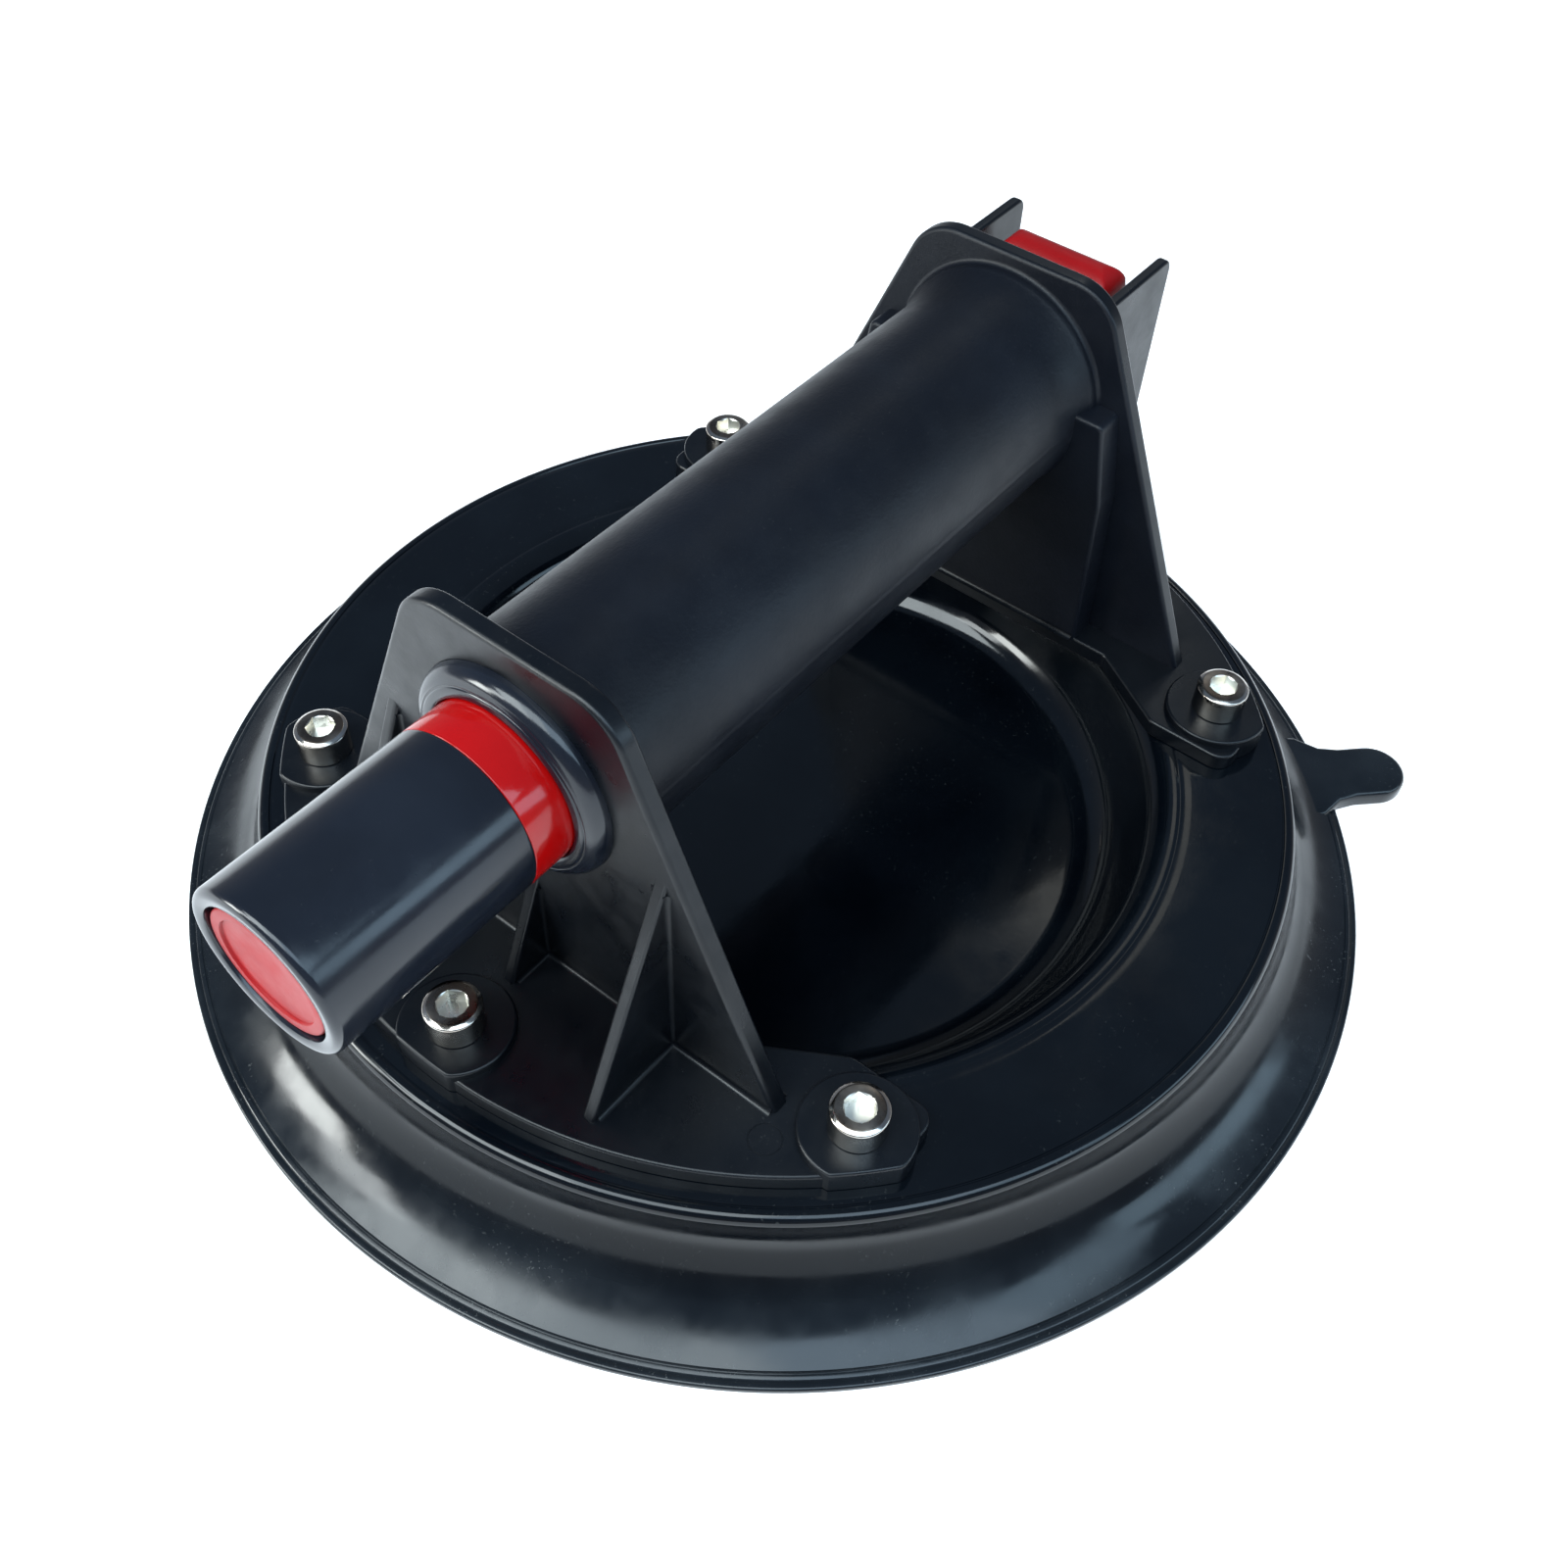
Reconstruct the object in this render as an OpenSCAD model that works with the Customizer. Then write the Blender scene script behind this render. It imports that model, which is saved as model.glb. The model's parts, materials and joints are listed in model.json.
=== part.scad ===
// Hand-pump vacuum suction cup. The pad seals on Z = 0, the grip runs along X,
// the plunger points along -X and the release lever stands at +X. Millimetres.

/* [Pad] */
// Diameter of the sealing lip
pad_d = 200; // [196:1:204]
// Thickness of the lip at its edge
lip_t = 1.5; // [1.2:0.1:2]
// Height of the flat shoulder that carries the handle
pad_h = 21; // [20:0.5:23]
// Radius of the upright wall at the shoulder
wall_r = 84.8; // [84:0.1:86]
// Inner radius of the flat shoulder
shoulder_in_r = 65.5; // [65:0.1:66]
// Height of the dished floor in the middle
floor_h = 5; // [4.5:0.1:6]
// Direction of the pull tab, seen from above
tab_angle = -45; // [-60:1:-30]
// Radius from the pad's centre to the tab's tip
tab_reach = 114.6; // [112:0.2:120]
// Width of the tab
tab_w = 11.4; // [10:0.2:14]

/* [Feet and screws] */
// Diameter of the screw circle
screw_circle_d = 147; // [146:0.5:148]
// Angle between neighbouring screws of a foot
screw_fan = 46.5; // [45:0.5:47]
// Nominal diameter of the screws
screw_d = 5; // [5, 4]
// Diameter of the screw heads
head_d = 8.5; // [7:0.1:9]
// Radius of the feet's outer edge
foot_r = 80; // [79:0.5:80.5]
// Thickness of the feet
foot_t = 3; // [2.5:0.5:3]
// Height of the round screw bosses above the feet
boss_h = 1.4; // [1:0.1:2]

/* [Grip] */
// Height of the grip's axis
axis_h = 64.7; // [63:0.1:66]
// Diameter of the grip tube
grip_d = 34.6; // [34:0.1:35]
// Distance from the centre to the outer face of the front bracket
bracket_x = 55; // [54:0.5:56]
// Thickness of the bracket plates
plate_t = 3; // [2.5:0.5:4]
// Height of the brackets
bracket_top = 86; // [86:0.5:88]
// Half width of the brackets at the feet
bracket_half_w = 43.2; // [43:0.2:46]
// Half width of the brackets at the top corners' centres
bracket_top_half_w = 10.7; // [10:0.1:15]

/* [Plunger] */
// Diameter of the plunger
plunger_d = 24.7; // [24.5:0.1:24.7]
// Travel of the plunger
stroke = 34; // [30:1:34]
// Length of the red band that shows when vacuum is lost
band_l = 12; // [8:0.5:12]
// How far the pulled-out plunger stands clear of the collar
plunger_out = 38.1; // [36:0.1:40]

/* [Release lever] */
// Height of the lever's pin
pin_h = 44; // [43:0.5:46]
// Width of the lever
lever_w = 21; // [20:0.5:21]
// Height of the lever's top
lever_top = 80; // [79:0.5:82]

/* [Hidden] */
$fn = 96;
eps = 1;

// Pad
pad_r = pad_d / 2;
shoulder_round = 1.6;
wall_sweep = 16.5;
flange_sweep = 24;
sweep_angle = 50;
flange_angle = 68;
dish_round = 5;
dish_blend = 8;
dish_slope = 22;
dish_centre_z = floor_h - 0.8;
floor_under_z = 2;
cavity_top = 10.5;
cavity_foot_r = 56;
cavity_in_r = 61.5;
cavity_out_r = 79;
land_in_r = 91.5;
tab_t = 3.2;

// Steel parts moulded into the pad
ring_in_r = 68;
ring_out_r = 79.5;
ring_z = 13;
ring_t = 3;
nut_r = 4.6;
thread_r = screw_d / 2 + 0.02;

// Feet and screws
foot_top = pad_h + foot_t;
boss_top = foot_top + boss_h;
boss_r = 8.5;
hole_r = screw_d / 2 + 0.25;
screw_l = 12;
head_h = 5;
head_chamfer = 0.4;
socket_w = 4;
socket_depth = 2.5;
foot_inner_x = 50;
foot_lobe_x = 41.5;
foot_lobe_y = 60.5;

// Brackets, ribs and guard fins
grip_r = grip_d / 2;
corner_r = 9;
flare_x0 = 46;
flare_x1 = 53.2;
flare_rise = 1.3;
front_x = -bracket_x - 1;
pedestal_x = bracket_x - 5;
pedestal_top = 67.5;
pedestal_top_half_w = 22.4;
pedestal_half_w = 25.8;
rear_x = bracket_x + plate_t;
rib_t = 2;
rib_y = 24;
rib_toe_x = 72.6;
rib_top = 61;
mid_rib_toe_x = 63.6;
mid_rib_top = 42;
fin_in_y = 13;
fin_x = 79.8;
fin_top = 80.4;
fin_foot_x = 77;
fin_taper_z = 50;
collar_seat_r = 16.45;
collar_seat_x = 1 - bracket_x;

// Pump, all along the grip's axis
bore_r = grip_r - 2.1;
liner_r = bore_r - 0.05;
barrel_r = 14;
barrel_x0 = -49;
plunger_r = plunger_d / 2;
gland_r = plunger_r + 0.08;
gland_x0 = -59;
gland_flange_r = 16.4;
gland_end_x = -46;
spigot_r = 9.9;
cap_x0 = gland_x0 - plunger_out;
band_x1 = -53.3;
band_x0 = band_x1 - band_l;
core_flange_x = gland_end_x + 0.05;
nose_x = -43;
nose_end_x = -38.5;
washer_t = 1.2;
spring_pressed_l = 11.3;
valve_x = nose_end_x + washer_t + stroke + spring_pressed_l;
wiper_x = -54;
wiper_w = 2.5;
wiper_r = 13.4;

// Valve body and check valve
valve_l = 14;
valve_bore_r = 5.5;
seat_x = 15;
port_r = 2;
pipe_r = 3;
pipe_x0 = 19;
pipe_x1 = 53;
seal_r = 0.68;
seal_groove_w = 2.4;
retainer_t = 1.6;

// Release valve and air duct
duct_x = 65;
duct_r = 1.5;
duct_boss_r = 3.5;
port_seal_r = 2.25;
port_seal_wire = 0.65;
port_boss_r = 4.5;
valve_boss_r = 7.5;
valve_boss_x1 = 68.7;
chamber_r = 4.2;
chamber_x0 = 56;
release_seat_x = 67;
stem_r = 1.6;
stem_end_x = 73.3;
poppet_r = 3.2;
poppet_x = 63.6;
poppet_t = 1.6;

// Lever
pin_x = 74.5;
pin_r = 2;
hub_r = 4.2;
lever_round = 4;
lever_top_x = 70.5;
lever_wall = 2;
lever_foot_x = 78.7;
nub_r = 1.2;
nub_gap = 0.15;

function arc(centre, r, from, to, steps = 10) =
    [for (i = [0:steps]) centre + r * [
        cos(from + (to - from) * i / steps),
        sin(from + (to - from) * i / steps)
    ]];

// The two feet are mirror images, and each screw fan is centred on X
screw_angles = [for (side = [0, 180]) for (k = [-1, 0, 1]) side + k * screw_fan];

module at_screws() {
    for (a = screw_angles) rotate([0, 0, a]) translate([screw_circle_d / 2, 0, 0]) children();
}

// A round solid along the grip's axis, from x0 to x1
module rod_x(x0, x1, r) {
    translate([x0, 0, axis_h]) rotate([0, 90, 0]) cylinder(r = r, h = x1 - x0);
}

module tube_x(x0, x1, r_out, r_in) {
    difference() {
        rod_x(x0, x1, r_out);
        rod_x(x0 - eps, x1 + eps, r_in);
    }
}

// A turned solid along the grip's axis, from an outline of [radius, x] points
module turned_x(points) {
    translate([0, 0, axis_h]) rotate([0, 90, 0]) rotate_extrude() polygon(points);
}

// A plate across X, from an outline of [y, z]
module plate_x(x, thickness) {
    translate([x, 0, 0]) rotate([90, 0, 90]) linear_extrude(thickness) children();
}

// A plate across Y and centred on y, from an outline of [x, z]
module plate_y(y, thickness) {
    translate([0, y + thickness / 2, 0]) rotate([90, 0, 0]) linear_extrude(thickness) children();
}

// A ring with a round wire, on the grip's axis
module ring_x(x, r, wire) {
    translate([x, 0, axis_h]) rotate([0, 90, 0]) rotate_extrude() translate([r, 0]) circle(r = wire, $fn = 32);
}

// A compression spring along the grip's axis, between two flat seats
module spring_x(x0, x1, r, wire, turns) {
    sides = 8;
    per_turn = 16;
    rings = turns * per_turn;
    lead = (x1 - x0 - 2 * wire) / rings;
    points = [
        for (i = [0:rings]) for (j = [0:sides - 1])
            let (a = i * 360 / per_turn, b = j * 360 / sides, rr = r + wire * cos(b))
            [x0 + wire + i * lead + wire * 0.98 * sin(b), rr * cos(a), axis_h + rr * sin(a)]
    ];
    walls = [
        for (i = [0:rings - 1]) for (j = [0:sides - 1])
            let (k = (j + 1) % sides)
            [i * sides + j, (i + 1) * sides + j, (i + 1) * sides + k, i * sides + k]
    ];
    start_face = [[for (j = [0:sides - 1]) j]];
    end_face = [[for (j = [0:sides - 1]) rings * sides + sides - 1 - j]];
    polyhedron(points, concat(start_face, walls, end_face), convexity = 10);
}

// ---- pad ----

// The pad's section, from the middle of its underside round to its top
module pad_section() {
    slope_normal = [-cos(dish_slope), sin(dish_slope)];
    rim_centre = [shoulder_in_r, pad_h - dish_round];
    slope_start = rim_centre + dish_round * slope_normal;
    drop = slope_start[1] + dish_blend * slope_normal[1] - floor_h - dish_blend;
    blend_centre = slope_start + dish_blend * slope_normal
        - drop / cos(dish_slope) * [sin(dish_slope), cos(dish_slope)];
    wall_centre = [wall_r + 0.1 + wall_sweep, pad_h - 2];
    flange_centre = wall_centre + (flange_sweep - wall_sweep) * [cos(sweep_angle), sin(sweep_angle)];
    polygon(concat(
        [[0, floor_under_z], [cavity_foot_r, floor_under_z], [cavity_in_r, cavity_top]],
        [[cavity_out_r, cavity_top], [cavity_out_r + 2.5, 6], [land_in_r, 0]],
        [[pad_r, 0], [pad_r, lip_t]],
        arc(flange_centre, flange_sweep, 180 + flange_angle, 180 + sweep_angle, 6),
        arc(wall_centre, wall_sweep, 180 + sweep_angle, 183, 10),
        arc([wall_r + 0.1 - shoulder_round, pad_h - shoulder_round], shoulder_round, 0, 90, 6),
        arc(rim_centre, dish_round, 90, 180 - dish_slope, 6),
        arc(blend_centre, dish_blend, -dish_slope, -90, 8),
        [[0, dish_centre_z]]
    ));
}

module pull_tab() {
    tip_x = tab_reach - tab_w / 2;
    root_x = pad_r - 4;
    flare_x = pad_r + 3;
    rotate([0, 0, tab_angle]) linear_extrude(tab_t) union() {
        translate([tip_x, 0]) circle(d = tab_w);
        translate([root_x, -tab_w / 2]) square([tip_x - root_x, tab_w]);
        polygon([[root_x, -tab_w * 0.8], [flare_x, -tab_w / 2], [flare_x, tab_w / 2], [root_x, tab_w * 0.8]]);
    }
}

module suction_pad() {
    color("#1b1e22") difference() {
        union() {
            rotate_extrude($fn = 180) pad_section();
            pull_tab();
            translate([duct_x, 0, cavity_top]) cylinder(r = port_boss_r, h = pad_h - cavity_top);
        }
        translate([0, 0, ring_z]) difference() {
            cylinder(r = ring_out_r, h = ring_t);
            translate([0, 0, -eps]) cylinder(r = ring_in_r, h = ring_t + 2 * eps);
        }
        at_screws() translate([0, 0, ring_z + ring_t]) cylinder(r = nut_r, h = pad_h);
        translate([duct_x, 0, 0]) {
            cylinder(r = duct_r, h = pad_h + eps);
            translate([0, 0, cavity_top - eps]) cylinder(r = 3.4, h = 2.2 + eps);
        }
    }
}

module backing_ring() {
    color("#8d9296") translate([0, 0, ring_z]) difference() {
        cylinder(r = ring_out_r, h = ring_t);
        translate([0, 0, -eps]) cylinder(r = ring_in_r, h = ring_t + 2 * eps);
        at_screws() translate([0, 0, -eps]) cylinder(r = thread_r, h = ring_t + 2 * eps);
    }
}

module weld_nuts() {
    nut_z = ring_z + ring_t;
    color("#9a9ea2") at_screws() translate([0, 0, nut_z]) difference() {
        cylinder(r = nut_r, h = pad_h - nut_z);
        translate([0, 0, -eps]) cylinder(r = thread_r, h = pad_h);
    }
}

module port_seal() {
    color("#2b2b2b") translate([duct_x, 0, pad_h + port_seal_wire]) rotate_extrude()
        translate([port_seal_r, 0]) circle(r = port_seal_wire, $fn = 32);
}

module intake_filter() {
    color("#d8d2c4") translate([duct_x, 0, cavity_top + 1]) cylinder(r = 3.4, h = 1.2);
}

module filter_ring() {
    color("#3a3a3a") translate([duct_x, 0, cavity_top]) difference() {
        cylinder(r = 3.4, h = 1);
        translate([0, 0, -eps]) cylinder(r = 2.2, h = 1 + 2 * eps);
    }
}

// ---- handle ----

// Bracket plate: slanted sides, a flat top and two round corners
module bracket_outline() {
    corner_z = bracket_top - corner_r;
    rise = corner_z - foot_top;
    run = bracket_half_w - bracket_top_half_w;
    lean = atan2(run, rise) - asin(corner_r / norm([run, rise]));
    tangent = corner_r * [cos(lean), sin(lean)];
    corner = [bracket_top_half_w, corner_z];
    foot = [bracket_half_w, foot_top];
    base = [bracket_half_w, pad_h + 1];
    right = [base, foot, corner + tangent, corner + [0, corner_r]];
    left = [for (i = [3:-1:0]) [-right[i][0], right[i][1]]];
    union() {
        polygon(concat(right, left));
        for (s = [-1, 1]) translate([s * corner[0], corner[1]]) circle(r = corner_r);
    }
}

// Box under the tube's rear end, with a shoulder at each side of the tube
module pedestal_outline() {
    polygon([
        [-pedestal_half_w, pad_h + 1], [pedestal_half_w, pad_h + 1],
        [pedestal_half_w - 1, 53], [pedestal_top_half_w, pedestal_top],
        [-pedestal_top_half_w, pedestal_top], [-pedestal_half_w + 1, 53]
    ]);
}

// A foot: a piece of a disc with two lobes that carry the outer screws
module foot_outline() {
    intersection() {
        circle(r = foot_r, $fn = 180);
        polygon([
            [foot_inner_x, -32], [foot_lobe_x, -46], [foot_lobe_x, -foot_lobe_y],
            [foot_r + 5, -foot_lobe_y], [foot_r + 5, foot_lobe_y],
            [foot_lobe_x, foot_lobe_y], [foot_lobe_x, 46], [foot_inner_x, 32]
        ]);
    }
}

module foot() {
    translate([0, 0, pad_h]) linear_extrude(foot_t) foot_outline();
    intersection() {
        translate([0, 0, pad_h]) cylinder(r = foot_r + 0.6, h = foot_t + boss_h, $fn = 180);
        for (k = [-1, 0, 1]) rotate([0, 0, k * screw_fan])
            translate([screw_circle_d / 2, 0, pad_h]) cylinder(r = boss_r, h = foot_t + boss_h);
    }
}

// Triangular rib on the front bracket
module front_rib(y, toe_x, top) {
    plate_y(y, rib_t) polygon([
        [-bracket_x + 1, foot_top - 1], [-toe_x, foot_top - 1], [-toe_x, foot_top + 0.4],
        [front_x, top], [-bracket_x + 1, top]
    ]);
}

// Guard fin beside the release lever
module guard_fin(y) {
    tip_r = 1.5;
    plate_y(y, rib_t) union() {
        polygon([
            [rear_x - 1, pad_h + 1], [fin_foot_x, pad_h + 1], [fin_x, fin_taper_z],
            [fin_x, fin_top - tip_r], [fin_x - tip_r, fin_top], [rear_x - 1, fin_top]
        ]);
        translate([fin_x - tip_r, fin_top - tip_r]) circle(r = tip_r);
    }
}

// The tube widens gently towards the rear plate
function rear_flare() =
    let (l = flare_x1 - flare_x0, r = (l * l + flare_rise * flare_rise) / (2 * flare_rise))
    arc([grip_r + r, flare_x0], r, 180, 180 - asin(l / r), 6);

module handle_frame() {
    color("#22252a") difference() {
        union() {
            rod_x(-bracket_x, bracket_x, grip_r);
            turned_x(concat([[0, flare_x0]], rear_flare(), [[grip_r + flare_rise, bracket_x + 1], [0, bracket_x + 1]]));
            plate_x(front_x, plate_t) bracket_outline();
            plate_x(bracket_x, plate_t) bracket_outline();
            plate_x(pedestal_x, bracket_x + 1 - pedestal_x) pedestal_outline();
            foot();
            rotate([0, 0, 180]) foot();
            for (y = [-rib_y, rib_y]) front_rib(y, rib_toe_x, rib_top);
            front_rib(0, mid_rib_toe_x, mid_rib_top);
            for (s = [-1, 1]) guard_fin(s * (fin_in_y + rib_t / 2));
            rod_x(rear_x - 1, valve_boss_x1, valve_boss_r);
            translate([duct_x, 0, pad_h + 1]) cylinder(r = duct_boss_r, h = axis_h - pad_h - 1);
        }
        rod_x(front_x - eps, collar_seat_x, collar_seat_r);
        rod_x(collar_seat_x - eps, pedestal_x, bore_r);
        rod_x(pedestal_x - eps, pipe_x1, pipe_r + 0.05);
        rod_x(pipe_x1 - eps, chamber_x0 + eps, port_r);
        rod_x(chamber_x0, valve_boss_x1, chamber_r);
        rod_x(release_seat_x, valve_boss_x1 + eps, 5);
        translate([duct_x, 0, pad_h - eps]) cylinder(r = duct_r, h = axis_h - pad_h + eps);
        translate([duct_x, 0, pad_h - eps]) cylinder(r = 2.9, h = 2 * port_seal_wire + eps);
        at_screws() translate([0, 0, pad_h - eps]) cylinder(r = hole_r, h = foot_t + boss_h + 2 * eps);
        translate([pin_x, 20, pin_h]) rotate([90, 0, 0]) cylinder(r = pin_r, h = 40);
    }
}

module foot_screws() {
    socket_r = socket_w / 2 / cos(30);
    color("#c9ccd0") at_screws() translate([0, 0, boss_top]) difference() {
        union() {
            translate([0, 0, -screw_l]) cylinder(r = screw_d / 2, h = screw_l + eps);
            cylinder(d = head_d, h = head_h - head_chamfer);
            translate([0, 0, head_h - head_chamfer])
                cylinder(r1 = head_d / 2, r2 = head_d / 2 - head_chamfer, h = head_chamfer);
        }
        translate([0, 0, head_h - socket_depth]) cylinder(r = socket_r, h = socket_depth + eps, $fn = 6);
    }
}

module lever_pin() {
    pin_l = 2 * (fin_in_y + rib_t) + 1;
    color("#b8bcc0") translate([pin_x, pin_l / 2, pin_h]) rotate([90, 0, 0]) cylinder(r = pin_r, h = pin_l);
}

// ---- pump ----

module gland_collar() {
    edge_r = 2.4;
    spigot_end_r = barrel_r - 0.05;
    color("#17191c") difference() {
        turned_x(concat(
            [[0, gland_end_x], [0, gland_x0]],
            arc([gland_flange_r - edge_r, gland_x0 + edge_r], edge_r, -90, 0),
            [[gland_flange_r, collar_seat_x], [liner_r, collar_seat_x], [liner_r, barrel_x0]],
            [[spigot_end_r, barrel_x0], [spigot_end_r, gland_end_x]]
        ));
        rod_x(gland_x0 - eps, gland_end_x + eps, gland_r);
        rod_x(wiper_x, wiper_x + wiper_w, wiper_r);
    }
}

module gland_wiper() {
    color("#3c3c3c") tube_x(wiper_x, wiper_x + wiper_w, wiper_r, plunger_r + 0.03);
}

module pump_barrel() {
    color("#a9adb2") tube_x(barrel_x0, valve_x, liner_r, barrel_r);
}

module valve_body() {
    color("#e4e2dc") difference() {
        rod_x(valve_x, valve_x + valve_l, liner_r);
        rod_x(valve_x - eps, seat_x, valve_bore_r);
        rod_x(seat_x - eps, pipe_x0 + eps, port_r);
        rod_x(pipe_x0, valve_x + valve_l + eps, pipe_r + 0.05);
        for (x = [13.2, 18.2])
            tube_x(x - seal_groove_w / 2, x + seal_groove_w / 2, liner_r + eps, bore_r - 2 * seal_r);
    }
}

module valve_body_seals() {
    color("#2b2b2b") for (x = [13.2, 18.2]) ring_x(x, bore_r - seal_r, seal_r);
}

module valve_retainer() {
    color("#d9d7d0") difference() {
        rod_x(valve_x, valve_x + retainer_t, valve_bore_r - 0.02);
        rod_x(valve_x - eps, valve_x + retainer_t + eps, 1.6);
        for (a = [0:90:270]) translate([valve_x - eps, 0, axis_h]) rotate([a, 0, 0])
            translate([0, 4.1, 0]) rotate([0, 90, 0]) cylinder(r = 0.7, h = retainer_t + 2 * eps, $fn = 24);
    }
}

module check_disc() {
    color("#4a2f2a") rod_x(seat_x - 1.6, seat_x - 0.02, 4.6);
}

module check_spring() {
    color("#c0c4c8") spring_x(valve_x + retainer_t, seat_x - 1.6, 2.6, 0.3, 3);
}

module vacuum_pipe() {
    color("#d6d8da") tube_x(pipe_x0, pipe_x1, pipe_r, port_r);
}

// ---- plunger ----

module plunger_core() {
    color("#e8e6e0") difference() {
        union() {
            rod_x(cap_x0 + 4, band_x1 + eps, spigot_r);
            rod_x(band_x1, core_flange_x + eps, plunger_r - 0.05);
            rod_x(core_flange_x, nose_x, barrel_r - 0.1);
            rod_x(nose_x - eps, nose_end_x, 7.9);
        }
        rod_x(cap_x0 + 4 - eps, -48, 7);
        rod_x(-48 - eps, nose_end_x + eps, 2);
    }
}

module plunger_cap() {
    edge_r = 1.2;
    color("#1d2024") turned_x(concat(
        [[spigot_r + 0.02, band_x0], [spigot_r + 0.02, cap_x0 + 0.4], [spigot_r + 0.42, cap_x0]],
        arc([plunger_r - edge_r, cap_x0 + edge_r], edge_r, -90, 0),
        [[plunger_r, band_x0]]
    ));
}

module indicator_band() {
    color("#d3141c") tube_x(band_x0, band_x1, plunger_r, spigot_r + 0.02);
}

// The disc closes the cap and has a raised rim round a shallow recess
module end_disc() {
    color("#dc2a33") difference() {
        rod_x(cap_x0 + 0.5, cap_x0 + 4, spigot_r - 0.45);
        rod_x(cap_x0 + 0.5 - eps, cap_x0 + 0.9, spigot_r - 2.3);
    }
}

module cup_seal() {
    color("#3a2a26") turned_x([
        [7.92, nose_x], [9.3, nose_x], [9.3, nose_end_x - 2], [12.8, nose_end_x - 2],
        [12.8, nose_x], [barrel_r - 0.03, nose_x], [barrel_r - 0.03, nose_end_x - 1.5],
        [barrel_r - 1, nose_end_x], [7.92, nose_end_x]
    ]);
}

module seal_washer() {
    color("#b4b8bc") tube_x(nose_end_x, nose_end_x + washer_t, 10.2, 2.1);
}

module piston_screw() {
    head_x = nose_end_x + washer_t;
    color("#c2c6ca") difference() {
        union() {
            rod_x(head_x, head_x + 2.6, 3.5);
            rod_x(-46.5, head_x + eps, 1.97);
        }
        translate([head_x + 1.3, 0, axis_h]) rotate([0, 90, 0]) cylinder(r = 1.44, h = 2, $fn = 6);
    }
}

module return_spring() {
    color("#b9bdc1") spring_x(nose_end_x + washer_t, valve_x, 8.3, 0.75, 7);
}

// ---- release valve and lever ----

module release_seat() {
    color("#c8a24a") tube_x(release_seat_x, valve_boss_x1, 4.97, port_r);
}

module release_stem() {
    color("#c2c6ca") union() {
        rod_x(poppet_x - 4.2, stem_end_x - stem_r, stem_r);
        rod_x(poppet_x, poppet_x + poppet_t, poppet_r);
        translate([stem_end_x - stem_r, 0, axis_h]) sphere(r = stem_r, $fn = 48);
    }
}

module stem_seal() {
    seal_x = poppet_x + poppet_t;
    color("#2b2b2b") tube_x(seal_x, release_seat_x - 0.03, 3, stem_r);
}

module release_spring() {
    color("#b9bdc1") spring_x(chamber_x0, poppet_x, 2.7, 0.35, 5);
}

// Side view of the lever: a hub below, a leaning blade and a round top
module lever_side() {
    top_z = lever_top - lever_round;
    union() {
        translate([pin_x, pin_h]) circle(r = hub_r);
        translate([lever_top_x, top_z]) circle(r = lever_round);
        polygon([
            [pin_x - hub_r, pin_h], [lever_foot_x, pin_h], [lever_top_x + lever_round, top_z],
            [lever_top_x - lever_round, top_z], [lever_top_x - lever_round, axis_h]
        ]);
    }
}

module lever_front() {
    half = lever_w / 2;
    round = 3.5;
    union() {
        translate([-half, pin_h - hub_r]) square([lever_w, lever_top - round - pin_h + hub_r]);
        translate([-half + round, pin_h]) square([lever_w - 2 * round, lever_top - pin_h]);
        for (s = [-1, 1]) translate([s * (half - round), lever_top - round]) circle(r = round);
    }
}

module release_lever() {
    inner_top = lever_top - lever_round - 0.6;
    hollow_w = lever_w - 2 * lever_wall;
    hub_w = 2 * fin_in_y - 0.4;
    nub_x = stem_end_x + nub_gap + nub_r;
    color("#b3121a") difference() {
        union() {
            difference() {
                intersection() {
                    plate_y(0, lever_w) lever_side();
                    plate_x(rear_x, 30) lever_front();
                }
                plate_y(0, hollow_w) polygon([
                    [rear_x, pin_h + hub_r], [lever_foot_x - lever_wall - 0.5, pin_h + hub_r],
                    [lever_top_x + lever_round - lever_wall, inner_top], [rear_x, inner_top]
                ]);
            }
            translate([pin_x, hub_w / 2, pin_h]) rotate([90, 0, 0]) cylinder(r = hub_r, h = hub_w);
            translate([nub_x, 3, axis_h]) rotate([90, 0, 0]) cylinder(r = nub_r, h = 6);
        }
        translate([pin_x, 20, pin_h]) rotate([90, 0, 0]) cylinder(r = pin_r + 0.05, h = 40);
    }
}

suction_pad();
backing_ring();
weld_nuts();
port_seal();
intake_filter();
filter_ring();
handle_frame();
foot_screws();
gland_collar();
gland_wiper();
pump_barrel();
valve_body();
valve_body_seals();
valve_retainer();
vacuum_pipe();
release_seat();
lever_pin();
plunger_core();
plunger_cap();
indicator_band();
end_disc();
cup_seal();
seal_washer();
piston_screw();
return_spring();
check_disc();
check_spring();
release_lever();
release_stem();
stem_seal();
release_spring();
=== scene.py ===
import json
import math

import bmesh
import bpy
from mathutils import Matrix, Quaternion, Vector


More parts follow.
